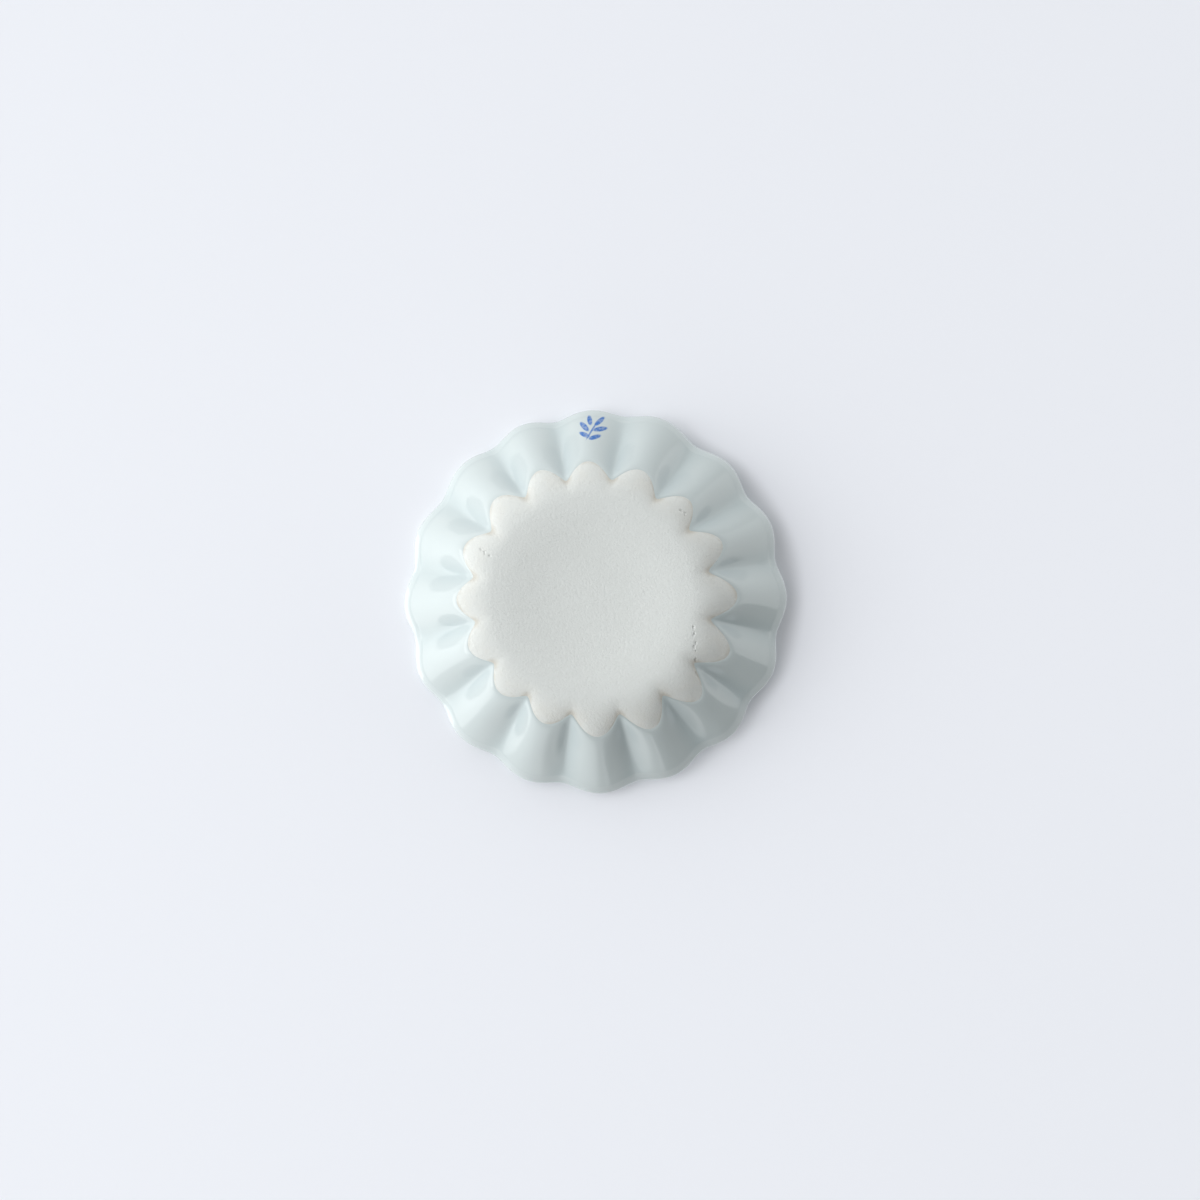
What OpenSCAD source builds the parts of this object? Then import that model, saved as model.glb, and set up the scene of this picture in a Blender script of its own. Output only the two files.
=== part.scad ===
// Sauce dish: a fluted porcelain dish shaped like an open chrysanthemum, with a glaze coat that stops
// short of the bare foot. Millimetres, +Z up, origin in the middle of the face that it stands on.

/* [Dish] */
// Diameter over the petals at the rim
rim_d = 90; // [88:1:100]
// Height from the table to the top of the rim
dish_h = 16; // [15:0.5:18]
// Number of petals round the wall
petals = 16; // [12:1:17]
// How far the grooves lie inside the petals at the rim
rim_groove = 1.7; // [1:0.1:2.5]

/* [Foot] */
// Radius of the foot, where the petals start to rise
foot_r = 22.8; // [22:0.1:24]
// Radius of the turn from the foot up into a petal
petal_turn_r = 14; // [12:0.5:15]
// Radius of the turn from the foot up into a groove
groove_turn_r = 8; // [6:0.5:9]
// Radius of the shallow hollow under the foot
hollow_r = 21.6; // [16:0.1:22.4]
// Depth of the hollow under the foot
hollow_depth = 1; // [0.2:0.1:1.4]

/* [Wall] */
// Thickness of the porcelain floor
floor_t = 3.2; // [2.8:0.1:3.8]
// Thickness of the porcelain wall
wall_t = 2.6; // [2.2:0.1:3]
// Thickness of the porcelain at the lip
lip_t = 1.8; // [1.4:0.1:2.2]
// Slope of the outside at the lip, in degrees
lip_slope = 60; // [58:1:70]
// Radius of the upturn below the lip
upturn_r = 8; // [6:0.5:12]

/* [Petals] */
// How far the grooves bow inwards half-way up the wall
groove_bow = 0.6; // [0:0.1:1]
// Softness of the grooves where they leave the foot
foot_softness = 0.2; // [0.1:0.02:0.4]
// Softness of the grooves at the rim
rim_softness = 0.6; // [0.3:0.05:0.8]

/* [Glaze] */
// Thickness of the glaze coat
glaze_t = 0.3; // [0.2:0.05:0.4]
// Bare length up a petal's back, from the foot to the glaze
petal_bare = 10; // [8:0.5:11]
// Bare length up a groove, from the foot to the glaze
groove_bare = 5; // [4:0.5:6]
// How far the hand-wiped glaze line wanders up and down the petals
glaze_wander = 1.3; // [0:0.1:1.5]

/* [Hidden] */

// Columns over half a petal, closer together towards the groove
half_columns = 4;
columns = [
    for (petal = [0 : petals - 1], k = [1 - half_columns : half_columns])
        (petal + sign(k) * sin(90 * abs(k) / half_columns) / 2) * 360 / petals
];

// The side and the two ends of the foot that are wiped furthest, as directions round the dish,
// and how much less the grooves are wiped than the petals
wiped_side = 10;
wiped_end = 36;
groove_wipe = 0.4;

// The share of the wall above the glaze line over which the glaze reaches its thickness
glaze_edge = 0.06;

// A section of the wall is a turn up from the foot, a straight slope and an upturn, all tangent.
// These are the places of its values in a list; the ends are lengths along it from the foot.
TURN_R = 0;
SLOPE = 1;
TURN_END = 2;
STRAIGHT_END = 3;
UPTURN_END = 4;
UPTURN_MIDDLE = 5;
LIP_MIDDLE = 6;
BOW = 7;

function along(slope) = [cos(slope), sin(slope)];
function inward(slope) = [-sin(slope), cos(slope)];
function arc_length(radius, angle) = radius * angle * PI / 180;

function section(turn_r, rim_r, bow) =
    let (
        lip_middle = [rim_r, dish_h] - (lip_t / 2 + glaze_t) * [1, 1],
        upturn_middle = lip_middle + (upturn_r - lip_t / 2) * inward(lip_slope),
        span = upturn_middle - [foot_r, turn_r],
        slope = atan2(span.y, span.x) - asin((upturn_r - turn_r) / norm(span)),
        turn_end = arc_length(turn_r, slope),
        straight_end = turn_end + span * along(slope),
        upturn_end = straight_end + arc_length(upturn_r, lip_slope - slope)
    )
    [turn_r, slope, turn_end, straight_end, upturn_end, upturn_middle, lip_middle, bow];

petal_section = section(petal_turn_r, rim_d / 2, 0);
groove_section = section(groove_turn_r, rim_d / 2 - rim_groove, groove_bow);

// Slope of the outside at a length along a section
function slope_at(s, length) =
    length < s[TURN_END] ? s[SLOPE] * length / s[TURN_END]
    : length < s[STRAIGHT_END] ? s[SLOPE]
    : s[SLOPE] + (lip_slope - s[SLOPE]) * (length - s[STRAIGHT_END]) / (s[UPTURN_END] - s[STRAIGHT_END]);

// How far the outside bows inwards at a length along a section, from the turn's end to the lip
function bow_at(s, length) =
    let (share = max(length - s[TURN_END], 0) / (s[UPTURN_END] - s[TURN_END]))
    s[BOW] * sin(180 * share);

// Point of the outside at a length along a section
function outside_at(s, length) =
    let (
        slope = slope_at(s, length),
        on_turn = [foot_r, s[TURN_R]] - s[TURN_R] * inward(slope),
        bowed = bow_at(s, length) * inward(slope)
    )
    length < s[TURN_END] ? on_turn
    : length < s[STRAIGHT_END] ? on_turn + (length - s[TURN_END]) * along(slope) + bowed
    : s[UPTURN_MIDDLE] - upturn_r * inward(slope) + bowed;

// A station runs over the porcelain from the foot's edge at 0, past the glaze line at 1, the upturn at 2
// and the lip from 3 to 4, then down the inside by the same steps to the floor's edge at 7
function length_at(s, station, bare) =
    station < 1 ? station * bare
    : station < 2 ? bare + (station - 1) * (s[STRAIGHT_END] - bare)
    : s[STRAIGHT_END] + (station - 2) * (s[UPTURN_END] - s[STRAIGHT_END]);

function thickness_at(station) =
    station < 1 ? floor_t + station * (wall_t - floor_t)
    : station < 2 ? wall_t
    : wall_t + (station - 2) * (lip_t - wall_t);

function outside(s, station, bare, lift) =
    let (length = length_at(s, station, bare))
    outside_at(s, length) - lift * inward(slope_at(s, length));

function lip(s, share, lift) = s[LIP_MIDDLE] + (lip_t / 2 + lift) * along(lip_slope - 90 + 180 * share);

function inside(s, station, bare, lift) =
    let (length = length_at(s, station, bare))
    outside_at(s, length) + (thickness_at(station) + lift) * inward(slope_at(s, length));

function section_point(s, station, bare, lift) =
    station <= 3 ? outside(s, station, bare, lift)
    : station < 4 ? lip(s, station - 3, lift)
    : inside(s, 7 - station, bare, lift);

// The grooves are sharp up to the upturn and open out towards the rim
function softness_at(station) =
    let (
        height = station < 3 ? station : station < 4 ? 3 : 7 - station,
        opened = min(max(height - 1.8, 0) / 1.2, 1)
    )
    foot_softness + opened * (rim_softness - foot_softness);

// How far a direction has left a petal's back for the groove: 0 on the back, 1 in the groove
function groove_share(angle, softness) =
    let (across = cos(angle * petals / 2))
    1 - (norm([across, softness]) - softness) / (norm([1, softness]) - softness);

// Bare length up a petal's back and up a groove, in each direction round the dish
function petal_bare_at(angle) =
    petal_bare + glaze_wander * (cos(angle - wiped_side) + cos(2 * (angle - wiped_end)));
function groove_bare_at(angle) = groove_bare + groove_wipe * glaze_wander * cos(2 * (angle - wiped_end));

// A point of the porcelain's surface, lifted off it by the glaze
function skin(angle, station, lift) =
    let (
        share = groove_share(angle, softness_at(station)),
        over_petal = section_point(petal_section, station, petal_bare_at(angle), lift),
        in_groove = section_point(groove_section, station, groove_bare_at(angle), lift),
        place = over_petal + share * (in_groove - over_petal)
    )
    [place.x * cos(angle), place.x * sin(angle), place.y];

function skin_ring(station, lift) = [for (angle = columns) skin(angle, station, lift)];
function round_ring(radius, z) = [for (angle = columns) [radius * cos(angle), radius * sin(angle), z]];

// The hollow under the foot is deepest in the middle and eases out at its edge
function hollow_at(share) = hollow_depth * pow(1 - pow(share, 3), 2);

hollow_shares = [0.4, 0.6, 0.8, 1];
foot_stations = [0, 0.25, 0.5, 0.75];

// The shares of the lip that face outwards, slantwise, and straight up
lip_stations = [for (facing = [0, 45, 90]) 3 + (facing + 90 - lip_slope) / 180];
wall_stations = concat([1, 1.5, 2, 2.5, 3], lip_stations, [4, 4.5, 5, 5.5, 6, 6.33, 6.67, 7]);

// A closed solid from a pole through a run of rings to another pole
module lofted(first_pole, rings, last_pole) {
    n = len(columns);
    points = concat([first_pole], [for (ring = rings) each ring], [last_pole]);
    last = len(points) - 1;
    last_ring = last - n;
    faces = concat(
        [for (j = [0 : n - 1]) [0, 1 + j, 1 + (j + 1) % n]],
        [
            for (i = [0 : len(rings) - 2], j = [0 : n - 1])
                let (a = 1 + i * n + j, b = 1 + i * n + (j + 1) % n)
                each [[a, a + n, b], [b, a + n, b + n]]
        ],
        [for (j = [0 : n - 1]) [last, last_ring + (j + 1) % n, last_ring + j]]
    );
    polyhedron(points = points, faces = faces);
}

// The fired porcelain, bare on the foot
module porcelain_body() {
    color([0.80, 0.81, 0.78])
        lofted(
            [0, 0, hollow_depth],
            concat(
                [for (share = hollow_shares) round_ring(hollow_r * share, hollow_at(share))],
                [for (station = foot_stations) skin_ring(station, 0)],
                [for (station = wall_stations) skin_ring(station, 0)]
            ),
            [0, 0, floor_t]
        );
}

// The glaze over the outside, the lip and the inside, thinning out at the glaze line
module glaze_coat() {
    color([0.80, 0.88, 0.86])
        lofted(
            [0, 0, floor_t + glaze_t],
            concat(
                [for (i = [len(wall_stations) - 1 : -1 : 1]) skin_ring(wall_stations[i], glaze_t)],
                [skin_ring(1 + glaze_edge, glaze_t)],
                [for (station = wall_stations) skin_ring(station, 0)]
            ),
            [0, 0, floor_t]
        );
}

porcelain_body();
glaze_coat();
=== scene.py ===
"""Fluted porcelain sauce dish: its bare body, its glaze coat and the stage that it is shown on."""
from functools import partial
from cmath import phase, rect
from math import asin, atan, atan2, cos, exp, hypot, pi, radians, sin, tan

import bmesh
import bpy
from bpy.props import FloatProperty, FloatVectorProperty, IntProperty, PointerProperty
from mathutils import Matrix, Vector


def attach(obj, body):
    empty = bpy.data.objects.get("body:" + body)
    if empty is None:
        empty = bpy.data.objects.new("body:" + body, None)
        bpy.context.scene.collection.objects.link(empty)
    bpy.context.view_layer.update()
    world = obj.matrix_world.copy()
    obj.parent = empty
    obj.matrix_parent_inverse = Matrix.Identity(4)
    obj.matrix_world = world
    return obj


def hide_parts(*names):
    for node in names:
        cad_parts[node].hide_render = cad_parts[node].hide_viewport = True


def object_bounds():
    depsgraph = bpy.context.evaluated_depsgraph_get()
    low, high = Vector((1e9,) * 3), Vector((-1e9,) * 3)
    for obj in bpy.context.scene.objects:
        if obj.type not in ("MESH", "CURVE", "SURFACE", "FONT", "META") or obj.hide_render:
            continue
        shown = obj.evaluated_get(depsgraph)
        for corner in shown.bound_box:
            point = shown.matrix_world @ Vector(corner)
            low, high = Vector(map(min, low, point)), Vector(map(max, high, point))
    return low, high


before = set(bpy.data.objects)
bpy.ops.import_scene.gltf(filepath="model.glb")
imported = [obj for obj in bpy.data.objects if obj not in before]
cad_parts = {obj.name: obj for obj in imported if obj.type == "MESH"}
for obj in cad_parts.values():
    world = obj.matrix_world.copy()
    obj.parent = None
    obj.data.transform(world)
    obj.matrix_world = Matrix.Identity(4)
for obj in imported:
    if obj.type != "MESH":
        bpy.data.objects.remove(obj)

bl_info = {
    "name": "Fluted sauce dish",
    "version": (1, 0, 0),
    "blender": (4, 5, 0),
    "location": "3D View > Sidebar > Dish",
    "description": "Models a fluted porcelain sauce dish with a bare foot and a gloss glaze",
    "category": "Object",
}

CAD_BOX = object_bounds()
MM = 0.001

# Short scuffs on the bare porcelain: where each starts and ends, in millimetres, and its number of pits
SCUFFS = (
    ((23.2, 6.8), (23.9, 19.2), 11),
    ((-25.6, -11.8), (-23.3, -9.6), 4),
    ((20.5, -19.8), (22.4, -18.2), 3),
)

# Brush dabs of the leaf sprig, in millimetres from its middle: across, outwards, turn in degrees,
# half length and half width
SPRIG = (
    (0.1, -0.6, 62, 2.6, 0.24),
    (-1.5, -1.5, 152, 1.45, 0.6),
    (0.9, -2.2, 18, 1.5, 0.6),
    (-1.6, 0.6, 130, 1.6, 0.65),
    (2.1, -0.1, 10, 1.7, 0.65),
    (-0.4, 2.2, 100, 1.35, 0.6),
    (1.9, 1.9, 46, 1.6, 0.6),
)

# The room's light round the dish: directions in degrees, and shares of the brightest side
LOW_WALLS = (
    (-175, 0.78), (-110, 0.48), (-60, 0.26), (-44, 0.22), (-41, 0.45), (13, 0.46), (16, 0.06), (76, 0.03),
    (78, 0.4), (82, 0.4), (84, 0.22), (94, 0.3), (97, 0.55), (120, 0.45), (144, 0.42), (147, 0.88),
)
HIGH_WALLS = (
    (-170, 0.72), (-110, 0.47), (-50, 0.28), (-10, 0.18), (30, 0.04), (80, 0.0), (110, 0.14), (150, 0.52),
)
TABLE_EDGE = (
    (-150, 0.25), (-90, 0.3), (-10, 0.28), (20, 0.03), (95, 0.03), (130, 0.42), (150, 0.55), (180, 0.4),
)

# Heights of a direction, from -1 under the foot to 1 over the rim, between which the room's parts blend
HORIZON = (-0.01, 0.01)
LOW_TO_HIGH_WALLS = (-0.26, -0.42)
WALLS_TO_CEILING = (-0.66, -0.86)
GLOSS_TO_CEILING = (-0.5, -0.64)
EDGE_TO_TABLE = (0.25, 0.45)


def length(label, words, default):
    """A size in metres."""
    return FloatProperty(name=label, description=words, default=default, unit="LENGTH", precision=5)


def angle(label, words, degrees):
    """An angle, given in degrees."""
    return FloatProperty(name=label, description=words, default=radians(degrees), subtype="ANGLE")


def share(label, words, default):
    """A plain number from 0 to 1."""
    return FloatProperty(name=label, description=words, default=default, min=0, max=1, subtype="FACTOR")


def level(label, words, default):
    """A brightness, where 1 lights a white sheet to white."""
    return FloatProperty(name=label, description=words, default=default, min=0)


def power(label, words, default):
    """A lamp's power in watts."""
    return FloatProperty(name=label, description=words, default=default, unit="POWER")


def colour(label, words, default):
    """A linear colour."""
    return FloatVectorProperty(
        name=label, description=words, default=default, size=3, min=0, max=1, subtype="COLOR",
    )


class DishSizes(bpy.types.PropertyGroup):
    """Real sizes of the dish."""

    rim_radius: length("Rim radius", "From the axis to a petal's back at the rim", CAD_BOX[1][0])
    height: length("Height", "From the table to the top of the rim", CAD_BOX[1][2])
    petals: IntProperty(name="Petals", description="Petals round the wall", default=16, min=3)
    rim_groove: length("Rim groove", "How far the grooves lie inside the petals at the rim", 1.7 * MM)
    foot_radius: length("Foot radius", "Where the petals start to rise from the foot", 22.8 * MM)
    petal_turn: length("Petal turn", "Radius of the turn from the foot into a petal", 14 * MM)
    groove_turn: length("Groove turn", "Radius of the turn from the foot into a groove", 8 * MM)
    groove_bow: length("Groove bow", "How far the grooves bow inwards half-way up the wall", 0.6 * MM)
    hollow_radius: length("Hollow radius", "Radius of the shallow hollow under the foot", 21.6 * MM)
    hollow_depth: length("Hollow depth", "Depth of the shallow hollow under the foot", 1 * MM)
    floor_thickness: length("Floor", "Thickness of the porcelain floor", 3.2 * MM)
    wall_thickness: length("Wall", "Thickness of the porcelain wall", 2.6 * MM)
    lip_thickness: length("Lip", "Thickness of the porcelain at the lip", 1.8 * MM)
    lip_slope: angle("Lip slope", "Slope of the outside at the lip", 60)
    upturn: length("Upturn", "Radius of the upturn below the lip", 8 * MM)
    foot_softness: share("Groove at the foot", "Softness of the grooves where they leave the foot", 0.2)
    rim_softness: share("Groove at the rim", "Softness of the grooves at the rim", 0.6)
    glaze_thickness: length("Glaze", "Thickness of the glaze coat", 0.3 * MM)
    glaze_fade: length("Glaze fade", "How softly the glaze thins towards its line", 0.9 * MM)
    glaze_root: length("Glaze root", "How deep the glaze bites into the porcelain", 0.05 * MM)
    petal_bare: length("Bare petal", "Bare length up a petal's back, from the foot to the glaze", 10 * MM)
    groove_bare: length("Bare groove", "Bare length up a groove, from the foot to the glaze", 5 * MM)
    glaze_wander: length("Wander", "How far the hand-wiped glaze line wanders", 1.3 * MM)
    wiped_side: angle("Wiped side", "Direction of the side that is wiped furthest", 10)
    wiped_end: angle("Wiped end", "Direction of the two ends that are wiped furthest", 36)
    groove_wipe: share("Groove wipe", "How much of the wander the grooves take", 0.4)
    full_side: angle("Full side", "Direction in which the rim swells out furthest", -75)
    full_spread: angle("Full spread", "How far the swelling spreads to either side", 8)
    fuller: length("Fuller", "How far the rim swells out there", 1.0 * MM)
    unevenness: length("Unevenness", "Slight unevenness of the hand-made rim", 0.05 * MM)
    sway: angle("Sway", "How far the hand-laid grooves lie off their even directions", 0.4)
    pit_width: length("Pit width", "Half the width of the largest pits in the bare porcelain", 0.4 * MM)
    pit_depth: length("Pit depth", "Depth of the pits in the bare porcelain", 0.26 * MM)
    sprig_radius: length("Sprig radius", "From the axis to the middle of the leaf sprig", 39.9 * MM)
    grain: length("Grain", "Size of the bare porcelain's grain", 0.6 * MM)
    grain_depth: length("Grain depth", "Depth of the bare porcelain's grain", 0.16 * MM)
    ripple: length("Ripple", "Size of the slow ripple in the gloss", 5 * MM)
    ripple_depth: length("Ripple depth", "Depth of the slow ripple in the gloss", 0.04 * MM)
    petal_columns: IntProperty(name="Columns", description="Mesh columns over one petal", default=24, min=4)


class DishColours(bpy.types.PropertyGroup):
    """Linear colours of the dish's surfaces."""

    bare: colour("Bare porcelain", "Fired porcelain without glaze", (0.622, 0.65, 0.638))
    bare_shade: colour("Bare strokes", "Wiping strokes on the bare porcelain", (0.607, 0.634, 0.62))
    bare_warm: colour("Warm porcelain", "Bare porcelain near the glaze", (0.615, 0.628, 0.60))
    # Tan colour along the glaze line, and darker in the groove bottoms just below it
    flush: colour("Flush", "Tan flush at the edge of the glaze, deepest in the grooves", (0.45, 0.42, 0.355))
    glaze: colour("Glaze", "Glaze at its usual thickness", (0.49, 0.55, 0.555))
    glaze_pool: colour("Pooled glaze", "Glaze where it has run thick", (0.45, 0.52, 0.53))
    # Painted reflection: a paler glaze band below the lip, standing in for the table's light that the band
    # reflects
    painted_band_reflection: colour("Band glaze", "Glaze that has thinned below the lip", (0.56, 0.615, 0.615))
    glaze_thin: colour("Thin glaze", "Glaze where it has run off an edge", (0.63, 0.64, 0.60))
    cobalt: colour("Cobalt", "Blue of the leaf sprig under the glaze", (0.02, 0.125, 0.42))


class DishStage(bpy.types.PropertyGroup):
    """The plain stage, its light and its camera."""

    table: colour("Table", "Plain pale table", (0.8, 0.823, 0.873))
    window_width: length("Window width", "Width of the soft window", 0.87)
    window_height: length("Window height", "Height of the soft window", 0.55)
    window_distance: length("Window distance", "From the dish to the soft window", 1.2)
    window_side: angle("Window side", "Direction of the window round the dish", 178)
    window_angle: angle("Window angle", "How high the window stands over the table", 29)
    power_below: power("Power below", "Power of the window that lights the foot's side", 4.2)
    power_above: power("Power above", "Power of the window that lights the open side", 2.4)
    room: level("Room", "Brightness of the bright side of the room", 3.4)
    ceiling: level("Ceiling", "Brightness straight over the table", 0.6)
    table_glow: level("Table glow", "Brightness of the table's own reflected light", 1.0)
    sheet_size: length("Sheet size", "Half the side of the floor and of the table", 2.0)
    # Painted shadow: the floor's colour darkens towards the axis within this distance
    painted_floor_shadow: length("Floor shade", "How far from the axis the dish shades the floor", 48 * MM)
    # Painted shade: the table's colour darkens in a crescent just past the rim, off to one side
    painted_table_shade: length("Table shade", "How far past the rim the dish shades the table", 5 * MM)
    table_shade_aside: length("Table shade offset", "How far off the axis the table's shade lies", 8 * MM)
    table_shade_side: angle("Table shade side", "Direction in which the table's shade lies", -8)
    table_shade_depth: share("Table shade depth", "How much darker the table is at the rim there", 0.27)
    fade_start: length("Fade start", "Where the sheets start to fade into the background", 0.16)
    fade_end: length("Fade end", "Where the sheets have become the background", 0.5)
    table_gap: length("Table gap", "Gap to the table where the rim stands off it", 0.8 * MM)
    table_gap_side: angle("Table gap side", "Direction in which the rim stands off the table", -22)
    sensor: FloatProperty(name="Sensor", description="Width of the sensor in millimetres", default=36)
    lens: FloatProperty(name="Lens", description="Focal length in millimetres", default=85)
    aim_right: length("Aim right", "How far off the axis the camera aims towards +X", 1.12 * MM)
    aim_down: length("Aim down", "How far off the axis the camera aims towards +Y", -0.23 * MM)
    camera_distance: length("Camera distance", "From the rim's plane to the camera", 0.6647)
    lean_right: angle("Lean right", "How far the camera stands off the axis towards +X", 2.9)
    lean_down: angle("Lean down", "How far the camera stands off the axis towards +Y", 3.4)
    roll: angle("Roll", "How far the camera is rolled", 0.9)


def mix(a, b, factor):
    """Linear blend from a to b."""
    return a + (b - a) * factor


def ease(value):
    """Smooth step from 0 to 1."""
    value = min(max(value, 0), 1)
    return value * value * (3 - 2 * value)


class WallSection:
    """A radial section of the porcelain: a turn up from the foot, a slope and an upturn, all tangent.

    Its points are complex numbers, with the radius as the real part and the height as the imaginary part.
    """

    def __init__(self, sizes, turn, rim_radius, bow=0.0):
        self.sizes = sizes
        self.turn = turn
        self.bow = bow
        half_lip = sizes.lip_thickness / 2
        edge = half_lip + sizes.glaze_thickness
        self.turn_middle = complex(sizes.foot_radius, turn)
        self.lip_middle = complex(rim_radius - edge, sizes.height - edge)
        self.upturn_middle = self.lip_middle + rect(sizes.upturn - half_lip, sizes.lip_slope + pi / 2)
        span = self.upturn_middle - self.turn_middle
        self.slope = phase(span) - asin((sizes.upturn - turn) / abs(span))
        self.turn_end = turn * self.slope
        self.straight_end = self.turn_end + abs(span) * cos(phase(span) - self.slope)
        self.upturn_end = self.straight_end + sizes.upturn * (sizes.lip_slope - self.slope)

    def outside_at(self, run):
        """Point of the outside and its slope at a length along the section."""
        risen = max(run - self.turn_end, 0)
        bowed = self.bow * sin(pi * risen / (self.upturn_end - self.turn_end))
        if run < self.straight_end:
            slope = min(run / self.turn, self.slope)
            place = self.turn_middle + rect(risen, slope) - rect(self.turn, slope + pi / 2)
        else:
            slope = self.slope + (run - self.straight_end) / self.sizes.upturn
            place = self.upturn_middle - rect(self.sizes.upturn, slope + pi / 2)
        return place + rect(bowed, slope + pi / 2), slope

    def run_at(self, station, bare):
        """Length along the section at a station of the outside."""
        if station < 1:
            return station * bare
        if station < 2:
            return mix(bare, self.straight_end, station - 1)
        return mix(self.straight_end, self.upturn_end, station - 2)

    def thickness_at(self, station):
        """Thickness of the porcelain at a station of the outside."""
        if station < 1:
            return mix(self.sizes.floor_thickness, self.sizes.wall_thickness, station)
        return mix(self.sizes.wall_thickness, self.sizes.lip_thickness, max(station - 2, 0))

    def point(self, station, bare, lift):
        """Point at a station, lifted off the porcelain.

        Stations run from the foot's edge at 0 past the glaze line at 1, the upturn at 2 and the lip from
        3 to 4, then down the inside by the same steps to the floor's edge at 7.
        """
        if 3 < station < 4:
            facing = self.sizes.lip_slope - pi / 2 + pi * (station - 3)
            return self.lip_middle + rect(self.sizes.lip_thickness / 2 + lift, facing)
        outer = min(station, 7 - station)
        place, slope = self.outside_at(self.run_at(outer, bare))
        depth = -lift if station <= 3 else self.thickness_at(outer) + lift
        return place + rect(depth, slope + pi / 2)


class Dish:
    """The dish's whole surface, from the foot's middle at station -1 to the floor's middle at 8."""

    def __init__(self, sizes):
        self.sizes = sizes
        self.over_petal = WallSection(sizes, sizes.petal_turn, sizes.rim_radius)
        groove_rim = sizes.rim_radius - sizes.rim_groove
        self.in_groove = WallSection(sizes, sizes.groove_turn, groove_rim, sizes.groove_bow)

    def groove_share(self, around, station):
        """0 on a petal's back, 1 in a groove: sharp on the wall, open at the rim."""
        sizes = self.sizes
        height = min(station, 7 - station, 3)
        opened = max(height - 1.8, 0) / 1.2
        soft = mix(sizes.foot_softness, sizes.rim_softness, opened)
        # Five slow waves round the dish stand for the unevenness of handwork
        uneven = cos(around + 2.4) + cos(2 * around + 0.3) + cos(3 * around - 0.2) + cos(4 * around + 3.3)
        across = cos((around - sizes.sway * (uneven + cos(5 * around + 4.6))) * sizes.petals / 2)
        return 1 - (hypot(across, soft) - soft) / (hypot(1, soft) - soft)

    def bare_lengths(self, around):
        """Bare length up a petal's back and up a groove in one direction round the dish."""
        sizes = self.sizes
        ends = cos(2 * (around - sizes.wiped_end))
        petal = sizes.petal_bare + sizes.glaze_wander * (cos(around - sizes.wiped_side) + ends)
        groove = sizes.groove_bare + sizes.glaze_wander * sizes.groove_wipe * ends
        return petal, groove

    def swelling(self, around, station):
        """Outward drift of the hand-made wall: one fuller side, and a slight unevenness."""
        sizes = self.sizes
        off = (around - sizes.full_side + pi) % (2 * pi) - pi
        full = exp(-((off / sizes.full_spread) ** 2) / 2)
        uneven = cos(3 * around + 1) + cos(5 * around + 4) + cos(7 * around + 2)
        risen = ease(min(station, 7 - station) / 3)
        return risen * (sizes.fuller * full + sizes.unevenness * (uneven - 3))

    def place(self, around, station, lift):
        """Radius and height at a station in one direction round the dish."""
        sizes = self.sizes
        if station < 0:
            radius = sizes.foot_radius * (1 + station)
            out = min(radius / sizes.hollow_radius, 1)
            return complex(radius, sizes.hollow_depth * (1 - out ** 3) ** 2 - lift)
        if station > 7:
            return complex(sizes.foot_radius * (8 - station), sizes.floor_thickness + lift)
        petal_bare, groove_bare = self.bare_lengths(around)
        back = self.over_petal.point(station, petal_bare, lift)
        groove = self.in_groove.point(station, groove_bare, lift)
        return mix(back, groove, self.groove_share(around, station)) + self.swelling(around, station)


def steps(first, last, count):
    """Even stations from first up to last, without the last."""
    return [mix(first, last, i / count) for i in range(count)]


def crowd(around, petals):
    """A direction moved towards its groove, so that mesh columns crowd where the surface bends most."""
    petal = 2 * pi / petals
    middle = round(around / petal) * petal
    offset = (around - middle) / (petal / 2)
    return middle + petal / 2 * mix(offset, sin(offset * pi / 2), 0.6)


def fluted(dish, chain):
    """A closed mesh: a chain of (station, lift) spun about the axis and fluted into petals."""
    sizes = dish.sizes
    mesh = bmesh.new()
    station_layer = mesh.verts.layers.float.new("station")
    lift_layer = mesh.verts.layers.float.new("lift")
    groove_layer = mesh.verts.layers.float.new("groove")
    verts = []
    for station, lift in chain:
        place = dish.place(0, station, lift)
        vert = mesh.verts.new((place.real, 0, place.imag))
        vert[station_layer] = station
        vert[lift_layer] = lift
        verts.append(vert)
    edges = [mesh.edges.new(pair) for pair in zip(verts, verts[1:])]
    bmesh.ops.spin(
        mesh, geom=verts + edges, cent=(0, 0, 0), axis=(0, 0, 1), angle=2 * pi,
        steps=sizes.petals * sizes.petal_columns, use_merge=True,
    )
    for vert in mesh.verts:
        around = crowd(atan2(vert.co.y, vert.co.x), sizes.petals)
        station = vert[station_layer]
        place = dish.place(around, station, vert[lift_layer])
        vert.co = (place.real * cos(around), place.real * sin(around), place.imag)
        # 1 on the wall, fading out over the half station next to the foot and next to the floor
        on_wall = 1 - ease(2 * abs(station - 3.5) - 6)
        vert[groove_layer] = on_wall * dish.groove_share(around, min(max(station, 0), 7))
    bmesh.ops.remove_doubles(mesh, verts=mesh.verts, dist=1e-7)
    bmesh.ops.recalc_face_normals(mesh, faces=mesh.faces)
    return mesh


class Pit:
    """A small long pit that lies along a scuff."""

    stretch = 1.8

    def __init__(self, middle, heading, half_width):
        self.middle = middle
        self.heading = heading
        self.half_width = half_width

    def depth_at(self, place, margin=0.0):
        """1 in the middle, falling to 0 at the edge or at a margin outside it."""
        off = place.xy - self.middle
        along = off.dot(self.heading)
        aside = off.cross(self.heading)
        reach = self.half_width + margin
        return max(1 - (along / (self.stretch * reach)) ** 2 - (aside / reach) ** 2, 0)


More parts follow.
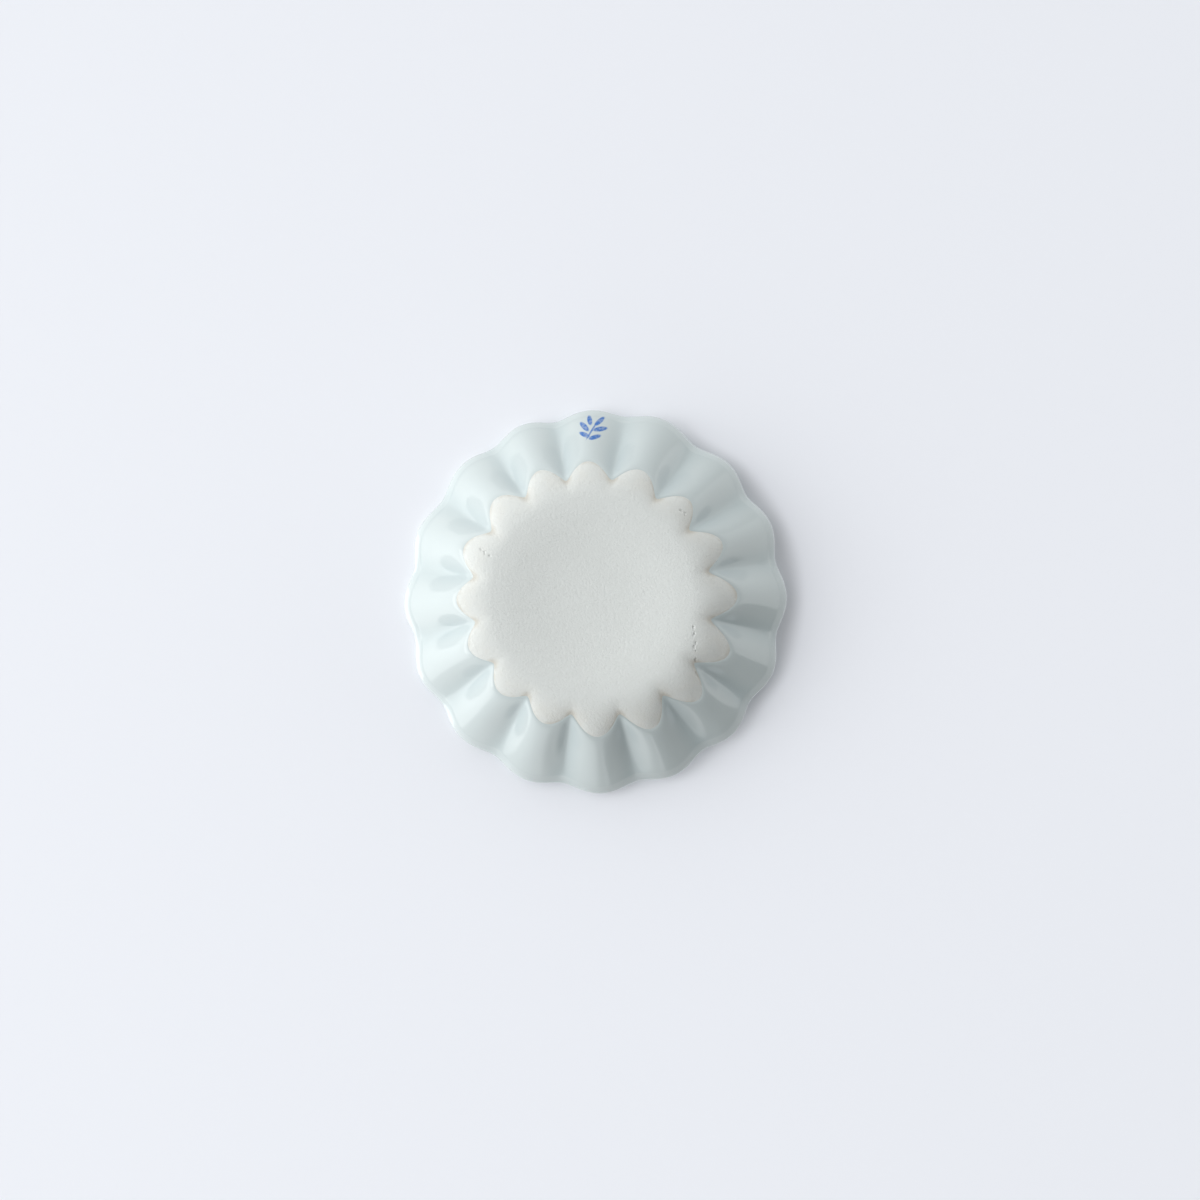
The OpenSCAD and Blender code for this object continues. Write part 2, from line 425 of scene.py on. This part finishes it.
def scuff_pits(sizes):
    """The pits along the scuffs on the bare porcelain, unevenly spaced."""
    side_step = 0.25 * MM
    for start, end, count in SCUFFS:
        start, end = Vector(start) * MM, Vector(end) * MM
        heading = (end - start).normalized()
        for i in range(count):
            along = (i + 0.5 + 0.35 * sin(2.4 * i)) / count
            aside = heading.orthogonal() * side_step * sin(3.7 * i)
            half_width = sizes.pit_width * (0.7 + 0.3 * sin(1.9 * i + 1))
            yield Pit(start.lerp(end, along) + aside, heading, half_width)


def pitted(mesh, sizes):
    """Dent a mesh with the pits of the scuffs, on finer faces round each of them."""
    pits = list(scuff_pits(sizes))
    margin = 0.3 * MM
    station_layer = mesh.verts.layers.float["station"]
    pit_layer = mesh.verts.layers.float.new("pit")
    faces = [
        face for face in mesh.faces
        if all(0 <= vert[station_layer] < 1 for vert in face.verts)
        and any(pit.depth_at(face.calc_center_median(), margin) for pit in pits)
    ]
    edges = {edge for face in faces for edge in face.edges}
    bmesh.ops.subdivide_edges(mesh, edges=list(edges), cuts=4, use_grid_fill=True)
    mesh.normal_update()
    for vert in mesh.verts:
        if 0 <= vert[station_layer] < 1:
            vert[pit_layer] = max(pit.depth_at(vert.co) for pit in pits) ** 2
    for vert in mesh.verts:
        vert.co -= vert.normal * sizes.pit_depth * vert[pit_layer]


def finished(name, mesh):
    """A smooth object from a mesh."""
    for face in mesh.faces:
        face.smooth = True
    data = bpy.data.meshes.new(name)
    mesh.to_mesh(data)
    mesh.free()
    piece = bpy.data.objects.new(name, data)
    bpy.context.scene.collection.objects.link(piece)
    return piece


class Nodes:
    """A node tree, with short calls to add and join nodes."""

    def __init__(self, owner):
        owner.use_nodes = True
        self.tree = owner.node_tree
        self.tree.nodes.clear()

    def add(self, kind, values=None, **settings):
        """Add a node with its settings, and give its input sockets plain values or join them."""
        node = self.tree.nodes.new(kind)
        for key, value in settings.items():
            setattr(node, key, value)
        for key, value in (values or {}).items():
            self.give(node.inputs[key], value)
        return node

    def give(self, socket, value):
        """Join a socket to another one, or give it a plain value."""
        if isinstance(value, bpy.types.NodeSocket):
            self.tree.links.new(value, socket)
        else:
            socket.default_value = value

    def coordinates(self, kind="Object"):
        """A piece's own coordinates in metres, or the world's directions."""
        return self.add("ShaderNodeTexCoord").outputs[kind]

    def attribute(self, name):
        """A number held at the mesh's vertices."""
        return self.add("ShaderNodeAttribute", attribute_name=name).outputs["Fac"]

    def noise(self, coordinates, size, detail=2.0, roughness=0.5):
        """Noise with features of about a size in metres."""
        values = {"Vector": coordinates, "Scale": 1 / size, "Detail": detail, "Roughness": roughness}
        return self.add("ShaderNodeTexNoise", values).outputs["Fac"]

    def moved(self, coordinates, location=(0, 0, 0), rotation=(0, 0, 0), scale=(1, 1, 1)):
        """Coordinates measured from a place, turned and stretched."""
        values = {"Vector": coordinates, "Location": location, "Rotation": rotation, "Scale": scale}
        return self.add("ShaderNodeMapping", values, vector_type="TEXTURE").outputs["Vector"]

    def ramp(self, value, low, high, to_low=0.0, to_high=1.0):
        """A value mapped smoothly from one range to another."""
        values = {"Value": value, "From Min": low, "From Max": high, "To Min": to_low, "To Max": to_high}
        return self.add("ShaderNodeMapRange", values, interpolation_type="SMOOTHSTEP").outputs["Result"]

    def math(self, operation, a, b=0.0):
        """One sum on one or two values."""
        return self.add("ShaderNodeMath", {0: a, 1: b}, operation=operation).outputs[0]

    def blend(self, factor, a, b):
        """Blend of two colours."""
        node = self.add("ShaderNodeMix", data_type="RGBA")
        colours = [socket for socket in node.inputs if socket.type == "RGBA"]
        self.give(node.inputs[0], factor)
        self.give(colours[0], a)
        self.give(colours[1], b)
        return next(socket for socket in node.outputs if socket.type == "RGBA")

    def distance(self, vector):
        """Length of a vector."""
        return self.add("ShaderNodeVectorMath", {0: vector}, operation="LENGTH").outputs["Value"]

    def bump(self, height, distance):
        """A bumped normal, where a height of 1 stands for a distance in metres."""
        return self.add("ShaderNodeBump", {"Height": height, "Distance": distance}).outputs["Normal"]


def opaque(rgb):
    """A linear colour with full alpha."""
    return (*rgb, 1.0)


def material(name, build):
    """A node material with the surface that a function builds."""
    made = bpy.data.materials.new(name)
    nodes = Nodes(made)
    shader = build(nodes)
    nodes.add("ShaderNodeOutputMaterial", {"Surface": shader.outputs[0]})
    return made


def bare_surface(sizes, colours, nodes):
    """Fired porcelain without glaze: matte and grained, with a tan flush at the edge of the glaze."""
    place = nodes.coordinates()
    grain = nodes.noise(place, sizes.grain, detail=4, roughness=0.7)
    along_strokes = nodes.moved(place, rotation=(0, 0, radians(-35)), scale=(6 * MM, 0.5 * MM, 1))
    strokes = nodes.noise(along_strokes, 1, detail=3)
    worn = nodes.math("MULTIPLY", nodes.ramp(strokes, 0.3, 0.75), nodes.ramp(grain, 0.3, 0.7, 0.4, 1.0))
    base = nodes.blend(worn, opaque(colours.bare), opaque(colours.bare_shade))
    station = nodes.attribute("station")
    patches = nodes.ramp(nodes.noise(place, 4 * MM, detail=4), 0.35, 0.7)
    warm = nodes.math("MULTIPLY", nodes.ramp(station, 0.0, 0.9), nodes.ramp(patches, 0, 1, 0.4, 1.0))
    warmed = nodes.blend(warm, base, opaque(colours.bare_warm))
    # Tan colour, strongest in the groove bottoms just below the glaze line and in patches along the line
    # itself
    groove = nodes.ramp(nodes.attribute("groove"), 0.55, 0.95)
    in_groove = nodes.math("MULTIPLY", groove, nodes.ramp(station, 0.6, 1.0))
    at_line = nodes.math("MULTIPLY", nodes.ramp(station, 0.9, 1.0, 0.0, 0.5), patches)
    tan_share = nodes.math("MAXIMUM", nodes.math("MULTIPLY", in_groove, 0.6), at_line)
    flushed = nodes.blend(tan_share, warmed, opaque(colours.flush))
    values = {
        "Base Color": flushed,
        "Roughness": 0.8,
        "Specular IOR Level": 0.3,
        "Normal": nodes.bump(grain, sizes.grain_depth),
    }
    return nodes.add("ShaderNodeBsdfPrincipled", values)


def sprig(nodes, place, middle):
    """Share of cobalt under the glaze: a generic sprig of soft leaf dabs, painted with a loaded brush."""
    painted = None
    for across, outwards, turn, half_length, half_width in SPRIG:
        at = (middle.x + across * MM, middle.y - outwards * MM, 0)
        scale = (half_length * MM, half_width * MM, 1)
        local = nodes.moved(place, location=at, rotation=(0, 0, radians(-turn)), scale=scale)
        dab = nodes.ramp(nodes.distance(local), 1.15, 0.75)
        painted = nodes.math("MAXIMUM", painted, dab) if painted else dab
    return painted


def glazed_surface(sizes, colours, nodes):
    """Clear blue-green gloss: deeper where it pools in the grooves, paler where it runs off the lip."""
    place = nodes.coordinates()
    drift = nodes.ramp(nodes.noise(place, 9 * MM, detail=3), 0.2, 0.8, 0.5, 1.0)
    pool = nodes.math("MULTIPLY", nodes.ramp(nodes.attribute("groove"), 0.3, 1.0), drift)
    base = nodes.blend(pool, opaque(colours.glaze), opaque(colours.glaze_pool))
    station = nodes.attribute("station")
    # Painted reflection: a paler band of glaze from the upturn to the lip
    band = nodes.math("MULTIPLY", nodes.ramp(station, 2.2, 2.35, 0.0, 0.4), nodes.ramp(station, 3.2, 3.0))
    with_painted_band = nodes.blend(band, base, opaque(colours.painted_band_reflection))
    lip = nodes.math("MULTIPLY", nodes.ramp(station, 3.15, 3.3), nodes.ramp(station, 3.75, 3.45))
    edge = nodes.math("MULTIPLY", lip, nodes.ramp(drift, 0.5, 1.0, 0.1, 0.6))
    tinted = nodes.blend(edge, with_painted_band, opaque(colours.glaze_thin))
    wash = nodes.ramp(nodes.noise(place, 0.8 * MM, detail=3), 0.25, 0.65, 0.6, 1.0)
    outside = nodes.ramp(station, 3.0, 2.9)
    painted = sprig(nodes, place, Vector((0, -sizes.sprig_radius)))
    blue = nodes.math("MULTIPLY", nodes.math("MULTIPLY", painted, wash), outside)
    ripple = nodes.noise(place, sizes.ripple, detail=2)
    values = {
        "Base Color": nodes.blend(blue, tinted, opaque(colours.cobalt)),
        "Roughness": 0.05,
        "IOR": 1.5,
        "Normal": nodes.bump(ripple, sizes.ripple_depth),
    }
    return nodes.add("ShaderNodeBsdfPrincipled", values)


class PaintedShade:
    """A round contact shade painted into a sheet's colour, deepest within an inner radius and gone at an
    outer one.
    """

    def __init__(self, middle, inner, outer, depth):
        self.middle = middle
        self.inner = inner
        self.outer = outer
        self.depth = depth

    def share_at(self, nodes, place):
        """How much darker the painted shade makes the sheet at a place."""
        off = nodes.distance(nodes.moved(place, location=self.middle))
        return nodes.ramp(off, self.inner, self.outer, self.depth, 0.0)


def one_sided(stage, shade, nodes):
    """A plain matte sheet that shows from its front only, with a shade painted into its colour, and fades
    into the background far away.
    """
    place = nodes.coordinates()
    plain = opaque(stage.table)
    # Painted shade: the sheet's colour is blended towards black by the shade's share
    lit = nodes.blend(shade.share_at(nodes, place), plain, opaque([0.0] * 3))
    paint = nodes.add("ShaderNodeBsdfDiffuse", {"Color": lit})
    background = nodes.add("ShaderNodeEmission", {"Color": plain, "Strength": 1.0})
    far = nodes.ramp(nodes.distance(place), stage.fade_start, stage.fade_end)
    swept = nodes.add("ShaderNodeMixShader", {0: far, 1: paint.outputs[0], 2: background.outputs[0]})
    clear = nodes.add("ShaderNodeBsdfTransparent")
    behind = nodes.add("ShaderNodeNewGeometry").outputs["Backfacing"]
    return nodes.add("ShaderNodeMixShader", {0: behind, 1: swept.outputs[0], 2: clear.outputs[0]})


class DISH_OT_porcelain_body(bpy.types.Operator):
    """Model the fired porcelain body, bare on its foot."""

    bl_idname = "dish.porcelain_body"
    bl_label = "Porcelain body"

    def execute(self, context):
        scene = context.scene
        outside = steps(-1, 0, 20) + steps(0, 1, 24) + steps(1, 3, 16)
        inside = steps(3, 4, 8) + steps(4, 7, 20) + steps(7, 8, 4) + [8]
        chain = [(station, 0) for station in outside + inside]
        mesh = fluted(Dish(scene.dish_sizes), chain)
        pitted(mesh, scene.dish_sizes)
        body = finished("porcelain", mesh)
        looks = partial(bare_surface, scene.dish_sizes, scene.dish_colours)
        body.data.materials.append(material("bare_porcelain", looks))
        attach(body, "root")
        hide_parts("porcelain_body")
        return {"FINISHED"}


class DISH_OT_glaze_coat(bpy.types.Operator):
    """Model the glaze over the outside, the lip and the inside."""

    bl_idname = "dish.glaze_coat"
    bl_label = "Glaze coat"

    def execute(self, context):
        scene = context.scene
        sizes = scene.dish_sizes
        dish = Dish(sizes)
        wall = dish.over_petal.straight_end - sizes.petal_bare
        near_line = [1 + part * part for part in steps(0, 1, 32)]
        face = near_line + steps(2, 3, 8) + steps(3, 4, 12) + steps(4, 7, 36) + steps(7, 8, 6) + [8]
        chain = []
        for station in reversed(face):
            thinning = exp(-max(station - 1, 0) * wall / sizes.glaze_fade)
            chain.append((station, mix(sizes.glaze_thickness, -sizes.glaze_root, thinning)))
        back = steps(1, 3, 16)[1:] + steps(3, 4, 8) + steps(4, 7, 20) + [7, 8]
        chain += [(station, -sizes.glaze_root) for station in back]
        glaze = finished("glaze", fluted(dish, chain))
        looks = partial(glazed_surface, sizes, scene.dish_colours)
        glaze.data.materials.append(material("celadon_glaze", looks))
        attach(glaze, "root")
        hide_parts("glaze_coat")
        return {"FINISHED"}


def sheet(name, lie, faces_up, stage, shade):
    """A large camera-only sheet of the stage, shown from one side."""
    mesh = bmesh.new()
    bmesh.ops.create_grid(mesh, x_segments=1, y_segments=1, size=stage.sheet_size, matrix=lie)
    if not faces_up:
        bmesh.ops.reverse_faces(mesh, faces=mesh.faces)
    data = bpy.data.meshes.new(name)
    mesh.to_mesh(data)
    mesh.free()
    data.materials.append(material(name, partial(one_sided, stage, shade)))
    piece = bpy.data.objects.new(name, data)
    bpy.context.scene.collection.objects.link(piece)
    piece.visible_diffuse = False
    piece.visible_glossy = False
    piece.visible_transmission = False
    piece.visible_shadow = False


def round_room(nodes, share_round, stops):
    """Grey levels round the room, from pairs of a direction in degrees and a share of the brightest."""
    node = nodes.add("ShaderNodeValToRGB", {"Fac": share_round})
    elements = node.color_ramp.elements
    (first, start), *_, (last, end) = stops
    seam = mix(end, start, (180 - last) / (first - last + 360))
    for element in elements:
        element.color = opaque([seam] * 3)
    for degrees, brightness in stops:
        elements.new((degrees + 180) / 360).color = opaque([brightness] * 3)
    return node.outputs["Color"]


def room_light(stage):
    """Soft light from all round: a bright side, a far side, a dark corner, a ceiling and a pale table."""
    world = bpy.data.worlds.new("room")
    bpy.context.scene.world = world
    nodes = Nodes(world)
    across = nodes.add("ShaderNodeSeparateXYZ", {0: nodes.coordinates("Generated")})
    heading = nodes.math("ARCTAN2", across.outputs["Y"], across.outputs["X"])
    whole_turn = {"Value": heading, "From Min": -pi, "From Max": pi}
    share_round = nodes.add("ShaderNodeMapRange", whole_turn).outputs[0]
    low_walls = round_room(nodes, share_round, LOW_WALLS)
    high_walls = round_room(nodes, share_round, HIGH_WALLS)
    table_edge = round_room(nodes, share_round, TABLE_EDGE)
    height = across.outputs["Z"]
    ceiling = opaque([stage.ceiling / stage.room] * 3)
    table = opaque([stage.table_glow / stage.room] * 3)
    paths = nodes.add("ShaderNodeLightPath").outputs
    shiny = nodes.math("MAXIMUM", paths["Is Glossy Ray"], paths["Is Transmission Ray"])
    walls = nodes.blend(nodes.ramp(height, *LOW_TO_HIGH_WALLS), low_walls, high_walls)
    in_gloss = nodes.math("MULTIPLY", shiny, nodes.ramp(height, *GLOSS_TO_CEILING))
    overhead = nodes.math("MAXIMUM", nodes.ramp(height, *WALLS_TO_CEILING), in_gloss)
    room = nodes.blend(overhead, walls, ceiling)
    below = nodes.blend(nodes.ramp(height, *EDGE_TO_TABLE), table_edge, table)
    lit = nodes.blend(nodes.ramp(height, *HORIZON), room, below)
    light = nodes.add("ShaderNodeBackground", {"Color": lit, "Strength": stage.room})
    seen = nodes.add("ShaderNodeBackground", {"Color": opaque(stage.table)})
    pale = nodes.math("MULTIPLY", shiny, nodes.ramp(height, *HORIZON))
    shown = nodes.math("MAXIMUM", paths["Is Camera Ray"], pale)
    both = nodes.add("ShaderNodeMixShader", {0: shown, 1: light.outputs[0], 2: seen.outputs[0]})
    nodes.add("ShaderNodeOutputWorld", {"Surface": both.outputs[0]})


def window(stage, name, height_angle, watts):
    """A soft rectangular lamp that faces the dish from one side, above or below."""
    lamp = bpy.data.lights.new(name, "AREA")
    lamp.shape = "RECTANGLE"
    lamp.size = stage.window_width
    lamp.size_y = stage.window_height
    lamp.energy = watts
    piece = bpy.data.objects.new(name, lamp)
    bpy.context.scene.collection.objects.link(piece)
    out = cos(height_angle)
    side = Vector((cos(stage.window_side) * out, sin(stage.window_side) * out, sin(height_angle)))
    piece.location = side * stage.window_distance
    piece.rotation_euler = side.to_track_quat("Z", "Y").to_euler()


class DISH_OT_stage(bpy.types.Operator):
    """Set the table sheets, the soft windows, the room and the camera."""

    bl_idname = "dish.stage"
    bl_label = "Stage"

    def execute(self, context):
        scene = context.scene
        stage = scene.dish_stage
        sizes = scene.dish_sizes
        clear = 0.02 * MM
        # Painted shadow on the floor round the foot, full at the axis
        painted_shadow_under_foot = PaintedShade(Vector((0, 0, 0)), 0, stage.painted_floor_shadow, 1.0)
        sheet("floor", Matrix.Translation((0, 0, -clear)), True, stage, painted_shadow_under_foot)
        lean = stage.table_gap / (2 * sizes.rim_radius)
        side = stage.table_gap_side
        leaning = Matrix.Rotation(-atan(lean), 4, (-sin(side), cos(side), 0))
        high = sizes.height + clear + stage.table_gap / 2
        # Painted shade on the table: a darker crescent just past the rim, off to one side
        aside = stage.table_shade_side
        beside = Vector((cos(aside), sin(aside), 0)) * stage.table_shade_aside + Vector((0, 0, high))
        reach = sizes.rim_radius - stage.table_shade_aside
        painted_shade_past_rim = PaintedShade(beside, reach, reach + stage.painted_table_shade, stage.table_shade_depth)
        sheet("backdrop", Matrix.Translation((0, 0, high)) @ leaning, False, stage, painted_shade_past_rim)
        window(stage, "window_below", -stage.window_angle, stage.power_below)
        window(stage, "window_above", stage.window_angle, stage.power_above)
        room_light(stage)
        eye = bpy.data.cameras.new("camera")
        eye.lens = stage.lens
        eye.sensor_width = stage.sensor
        camera = bpy.data.objects.new("camera", eye)
        scene.collection.objects.link(camera)
        aim = Vector((stage.aim_right, stage.aim_down, sizes.height))
        back = Vector((tan(stage.lean_right), tan(stage.lean_down), -1)).normalized()
        right = Vector((0, -1, 0)).cross(back).normalized()
        turned = Matrix((right, back.cross(right), back)).transposed().to_4x4()
        turned = turned @ Matrix.Rotation(-stage.roll, 4, "Z")
        camera.matrix_world = Matrix.Translation(aim + back * stage.camera_distance) @ turned
        scene.camera = camera
        scene.view_settings.view_transform = "Standard"
        return {"FINISHED"}


class DISH_PT_panel(bpy.types.Panel):
    """Sidebar panel with the dish's operators and values."""

    bl_idname = "DISH_PT_panel"
    bl_label = "Fluted sauce dish"
    bl_space_type = "VIEW_3D"
    bl_region_type = "UI"
    bl_category = "Dish"

    def draw(self, context):
        for operator in OPERATORS:
            self.layout.operator(operator.bl_idname)
        for name in GROUPS:
            group = getattr(context.scene, name)
            box = self.layout.box()
            for key in group.bl_rna.properties.keys():
                if key not in {"rna_type", "name"}:
                    box.prop(group, key)


OPERATORS = (DISH_OT_porcelain_body, DISH_OT_glaze_coat, DISH_OT_stage)
GROUPS = {"dish_sizes": DishSizes, "dish_colours": DishColours, "dish_stage": DishStage}


def register():
    for kind in (*GROUPS.values(), *OPERATORS, DISH_PT_panel):
        bpy.utils.register_class(kind)
    for name, kind in GROUPS.items():
        setattr(bpy.types.Scene, name, PointerProperty(type=kind))


def unregister():
    for name in GROUPS:
        delattr(bpy.types.Scene, name)
    for kind in (DISH_PT_panel, *reversed(OPERATORS), *reversed(GROUPS.values())):
        bpy.utils.unregister_class(kind)


def main():
    register()
    bpy.ops.dish.porcelain_body()
    bpy.ops.dish.glaze_coat()
    bpy.ops.dish.stage()


if __name__ == "__main__":
    main()
